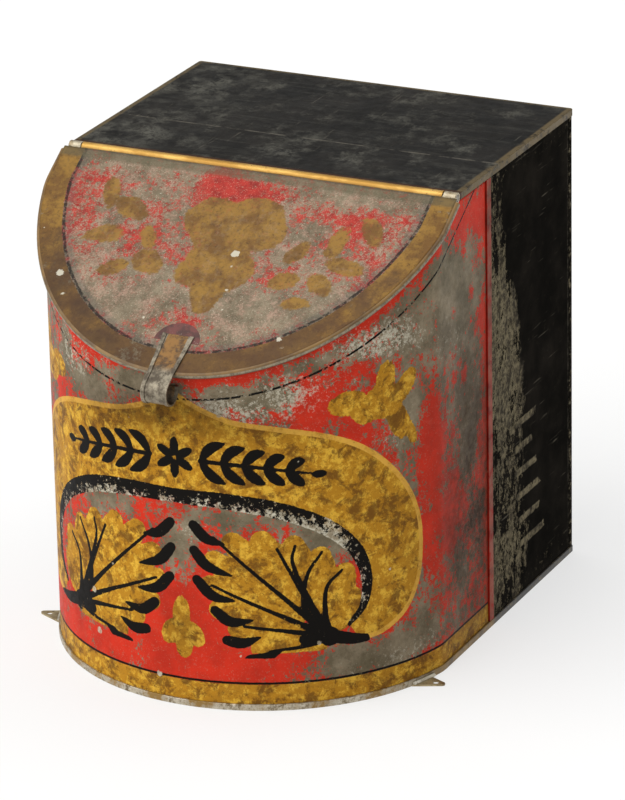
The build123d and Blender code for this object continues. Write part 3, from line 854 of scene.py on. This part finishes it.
def seam_material():
    """The front sheet's own folds and inside: red over the lock seam, bare tin within."""
    g = Graph("front_sheet")
    crumbs = g.noise(2.6, 8, 0.75, shift=151)
    streaks = g.noise(24, 8, 0.7, where=g.stretched(1, 1, 0.3), shift=152)
    rubbed = (streaks * 0.6 + crumbs * 0.4).step(0.56, 0.60)
    # The fold's outer edge gets a light tin line, partly rubbed tin and partly painted highlight
    ridge_wear_and_highlight = (g.x.abs() - HALF - 0.72).step(-0.12, 0.06) * g.noise(6, 6, 0.7, shift=153).step(0.38, 0.52)
    # The seam's red is darker than the front's, partly painted shade where the light falls off at the side
    red = g.mix(tone(150, 30, 20), tone(96, 20, 15), g.noise(9, 6, 0.6, shift=154).step(0.4, 0.7))
    outside = g.mix(red, tin_colour(g, 15), rubbed.max(ridge_wear_and_highlight * 0.35))
    radial = g.math("SQRT", g.x * g.x + (g.y - WALLS.middle) * (g.y - WALLS.middle))
    on_side = (g.x.abs() - HALF + SKIN).step(-0.06, 0.06)
    on_bow = (radial - WALLS.bow + SKIN).step(-0.06, 0.06) * (WALLS.shoulder_y - g.y).step(-1, 1)
    colour = g.mix(inner_colour(g), outside, on_side.max(on_bow))
    rough = uneven(g, 157, 0.36, 0.2)
    return g.finish(colour, rough, 0.15, [(dents(g, 18), 1.2), (crumbs, 0.05)], specular=0.04)


def rim_material():
    """The base's turned edge: ochre over tin, bright tin at the front, partly rubbed and partly painted
    highlight, tarnished round the sides.
    """
    g = Graph("base_rim")
    crumbs = g.noise(2.2, 8, 0.75, shift=161)
    long = g.noise(16, 7, 0.66, shift=162)
    # Bright tin towards the front: partly rubbed through, partly painted highlight
    bright = (crumbs * 0.4 + long * 0.6).step(0.44, 0.54) * (-60 - g.y + (long - 0.5) * 60).step(-30, 20)
    ochre = g.mix(tone(138, 106, 44), tone(84, 64, 32), long.step(0.4, 0.62))
    tin = g.mix(tone(228, 220, 200), tone(112, 96, 68), (crumbs * 0.6 + long * 0.4).step(0.44, 0.60))
    back = (g.y - SEAM_Y).step(-4, 4)
    sooty = g.mix(tone(46, 42, 36), tone(104, 92, 66), (crumbs * 0.6 + long * 0.4).step(0.5, 0.58))
    colour = g.mix(g.mix(ochre, tin, bright), sooty, back)
    underside = (g.z - 0.05).step(0.1, -0.02)
    colour = g.mix(colour, g.mix(tone(96, 84, 64), RUST, crumbs.step(0.48, 0.62)), underside * 0.7)
    rough = crumbs * 0.3 + 0.26
    return g.finish(colour, rough, bright * 0.5 + 0.1, [(long, 0.5), (crumbs, 0.08)])


def metal_material(name, light, dark, stain, rough, metal, shift, dirt):
    """A small bare piece, cloudy from light to dark, with crumbs of stain."""
    g = Graph(name)
    crumbs = g.noise(1.8, 8, 0.72, shift=shift + 1)
    cloud = g.noise(7, 6, 0.62, shift=shift + 2)
    colour = g.mix(light, dark, cloud.step(0.38, 0.66))
    colour = g.mix(colour, stain, crumbs.step(0.54, 0.66) * dirt)
    return g.finish(colour, crumbs * 0.24 + (rough - 0.08), metal, [(cloud, 0.35), (crumbs, 0.06)])


def bead_material():
    """Gold paint on the hinge barrel, with a painted highlight along the top and painted shade in brown
    beneath.
    """
    g = Graph("hinge_gold")
    along = g.noise(9, 6, 0.65, where=g.stretched(0.35, 1, 1), shift=171)
    crumbs = g.noise(1.6, 7, 0.72, shift=172)
    # Painted highlight and shade: light gold above the hinge axis, dark brown below it
    up = (g.z - HINGE.z).step(-0.6, 1.8)
    gold = g.mix(tone(176, 130, 52), tone(216, 172, 88), along.step(0.42, 0.62))
    colour = g.mix(tone(96, 62, 26), gold, up)
    colour = g.mix(colour, tone(92, 60, 30), (crumbs * 0.6 + along * 0.4).step(0.56, 0.64) * 0.8)
    colour = g.mix(colour, tone(176, 168, 148), crumbs.step(0.67, 0.7) * 0.8)
    return g.finish(colour, crumbs * 0.3 + 0.2, 0.55, [(along, 0.25), (crumbs, 0.05)])


def edge_material():
    """The lid's rolled edge: bronze paint with a bright tin line along the crown, partly rubbed tin and
    partly painted highlight, and painted shade on the underside.
    """
    g = Graph("lid_edge")
    across = g.math("SUBTRACT", (g.z - HINGE.z) * COS, (g.y - HINGE.y) * SIN)
    crumbs = g.noise(2.0, 8, 0.75, shift=181)
    long = g.noise(15, 6, 0.64, shift=182)
    bronze = g.mix(tone(136, 104, 56), tone(94, 70, 42), long.step(0.4, 0.64))
    tin = g.mix(tone(150, 138, 116), tone(98, 86, 68), crumbs.step(0.4, 0.66))
    # The crown line is partly rubbed tin and partly painted highlight
    side = 1 - (across - 1.1).abs().step(0.35, 1.1)
    worn = (crumbs * 0.35 + long * 0.35 + side * 0.34).step(0.40, 0.56)
    colour = g.mix(bronze, tin, worn)
    # Painted shade: the underside of the roll is darkened
    under = (across - 0.5).step(0.5, -0.5)
    colour = g.mix(colour, tone(58, 44, 34), under * 0.8)
    return g.finish(colour, crumbs * 0.3 + 0.28, worn * 0.5 + 0.1, [(long, 0.3), (crumbs, 0.06)])


def tab_material():
    """The tab: gold paint left in the channel, bare hems, a silvery curl."""
    g = Graph("tab_tin")
    crumbs = g.noise(1.4, 8, 0.75, shift=191)
    cloud = g.noise(5, 6, 0.65, shift=192)
    tin = g.mix(tone(150, 140, 120), tone(84, 74, 60), cloud.step(0.4, 0.62))
    tin = g.mix(tin, tone(56, 46, 36), crumbs.step(0.54, 0.64) * 0.75)
    gold = g.mix(tone(140, 100, 48), tone(80, 56, 34), cloud.step(0.42, 0.6))
    channel = (4.9 - g.x.abs()).step(-0.2, 0.2)
    strip = (g.y - (TAB_TIP_Y + 9)).step(-1, 3)
    kept = (crumbs * 0.5 + cloud * 0.5).step(0.60, 0.50)
    colour = g.mix(tin, gold, channel * strip * (kept * 0.55 + 0.4))
    return g.finish(colour, crumbs * 0.3 + 0.26, 0.55, [(cloud, 0.3), (crumbs, 0.08)])


def halo_material():
    """Solder round the tab's root, under worn dark red."""
    g = Graph("tab_root_halo")
    crumbs = g.noise(1.6, 8, 0.75, shift=201)
    colour = g.mix(tone(110, 58, 52), tone(74, 44, 38), g.noise(5, 6, 0.6, shift=202).step(0.4, 0.64))
    colour = g.mix(colour, tone(150, 138, 122), crumbs.step(0.58, 0.66) * 0.7)
    return g.finish(colour, crumbs * 0.2 + 0.42, 0.15, [(crumbs, 0.1)])


def inner_material():
    """The lid's own sheet, bare underneath."""
    g = Graph("lid_underside")
    crumbs = g.noise(1.8, 7, 0.7, shift=236)
    bumps = [(dents(g, 5), 1.0), (crumbs, 0.06)]
    return g.finish(inner_colour(g, 9), crumbs * 0.24 + 0.34, 0.3, bumps, specular=0.3)


def dress(nodes, material):
    """Gives CAD nodes a material."""
    for name in nodes:
        mesh = frame["nodes"][name].data
        mesh.materials.clear()
        mesh.materials.append(material)


def both(name):
    return [name + "_right", name + "_left"]


# name, light, dark and stain colours, roughness, metal, place in the noise, dirt
METALS = {
    "soft_solder": ((150, 146, 136), (104, 98, 86), (64, 54, 42), 0.38, 0.6, 210, 0.5),
    "lug_solder_bright": ((206, 200, 184), (150, 140, 118), (96, 78, 52), 0.28, 0.7, 215, 0.5),
    "lug_tin": ((172, 156, 120), (120, 98, 64), (78, 56, 34), 0.38, 0.5, 220, 0.7),
    "knuckle_tin": ((190, 180, 156), (132, 112, 78), (74, 56, 36), 0.3, 0.6, 225, 0.6),
    "drawn_wire": ((150, 144, 132), (98, 88, 74), (70, 50, 34), 0.34, 0.8, 230, 0.6),
}
METAL_NODES = {
    "soft_solder": ["hinge_solder", "base_solder", *both("corner_solder"), *both("seam_solder")],
    "lug_solder_bright": both("lug_solder"),
    "lug_tin": both("base_lug"),
    "knuckle_tin": both("lid_knuckle"),
    "drawn_wire": ["hinge_wire", "lid_edge_wire"],
}


def dress_all():
    dress(both("side_panel"), side_material())
    dress(["back_panel"], back_material())
    dress(["top_plate"], top_material())
    dress(["front_wall"], seam_material())
    dress(["base_pan"], rim_material())
    dress(["hinge_barrel"], bead_material())
    dress(["lid_rolled_edge"], edge_material())
    dress(["lift_tab"], tab_material())
    dress(["tab_solder"], halo_material())
    for name, (light, dark, stain, *rest) in METALS.items():
        dress(METAL_NODES[name], metal_material(name, tone(*light), tone(*dark), tone(*stain), *rest))
    dress(["lid_panel"], inner_material())


# ---- floor, lights and camera
def make_floor():
    """White paper that glows a little, so that it stays white in the tin's shadow."""
    mesh = bpy.data.meshes.new("floor")
    reach = 30.0
    corner_points = [(-reach, -reach, 0), (reach, -reach, 0), (reach, reach, 0), (-reach, reach, 0)]
    mesh.from_pydata(corner_points, [], [(0, 1, 2, 3)])
    floor = bpy.data.objects.new("floor", mesh)
    bpy.context.scene.collection.objects.link(floor)
    g = Graph("floor_paper")
    g.finish(tone(172, 172, 171), 0.9, specular=0.0)
    g.shader.inputs["Emission Color"].default_value = (1.0, 1.0, 1.0, 1.0)
    g.shader.inputs["Emission Strength"].default_value = 0.58
    mesh.materials.append(g.material)


def sun(name, place, strength, softness, colour=(1, 1, 1)):
    """A broad soft lamp shining from place towards the origin."""
    lamp = bpy.data.lights.new(name, "SUN")
    lamp.energy = strength
    lamp.angle = math.radians(softness)
    lamp.color = colour
    light = bpy.data.objects.new(name, lamp)
    bpy.context.scene.collection.objects.link(light)
    light.location = place
    light.rotation_euler = Vector(place).to_track_quat("Z", "Y").to_euler()


def make_lights():
    """A bright room, a soft lamp overhead, the key from the front left and a weak one from behind."""
    world = bpy.data.worlds.new("studio")
    bpy.context.scene.world = world
    world.use_nodes = True
    background = world.node_tree.nodes["Background"]
    background.inputs["Color"].default_value = (1.0, 1.0, 1.0, 1.0)
    background.inputs["Strength"].default_value = 0.3
    sun("overhead", (-0.15, 0.1, 1.0), 1.0, 70)
    sun("key", (-0.8, -1.0, 0.95), 2.1, 70)
    sun("rear", (0.8, 0.9, 0.8), 0.5, 60)


def make_camera():
    """The camera of the row's picture: a long lens, a little above and to the right of the front."""
    azimuth, elevation, roll = (math.radians(a) for a in (26.03, 21.45, -1.22))
    distance, lens, sensor = 2.348, 230.5, 36.0
    aim = Vector((0, 0.0185, 0.114))
    level = math.cos(elevation)
    back = Vector((math.sin(azimuth) * level, -math.cos(azimuth) * level, math.sin(elevation)))
    right = Vector((math.cos(azimuth), math.sin(azimuth), 0))
    up = back.cross(right)
    across = right * math.cos(roll) + up * math.sin(roll)
    upwards = up * math.cos(roll) - right * math.sin(roll)
    target = aim + across * 0.00276 - upwards * 0.01537
    data = bpy.data.cameras.new("camera")
    data.lens, data.sensor_width = lens, sensor
    data.shift_x, data.shift_y = 0.0091, -0.0015
    camera = bpy.data.objects.new("camera", data)
    bpy.context.scene.collection.objects.link(camera)
    turn = Matrix((across, upwards, back)).transposed()
    camera.matrix_world = Matrix.Translation(target + back * distance) @ turn.to_4x4()
    bpy.context.scene.camera = camera


front = front_paint()
front.data.materials.append(front_material())
lid = lid_paint()
lid.data.materials.append(lid_material())
dress_all()
make_floor()
make_lights()
make_camera()
bpy.context.scene.view_settings.view_transform = "Standard"
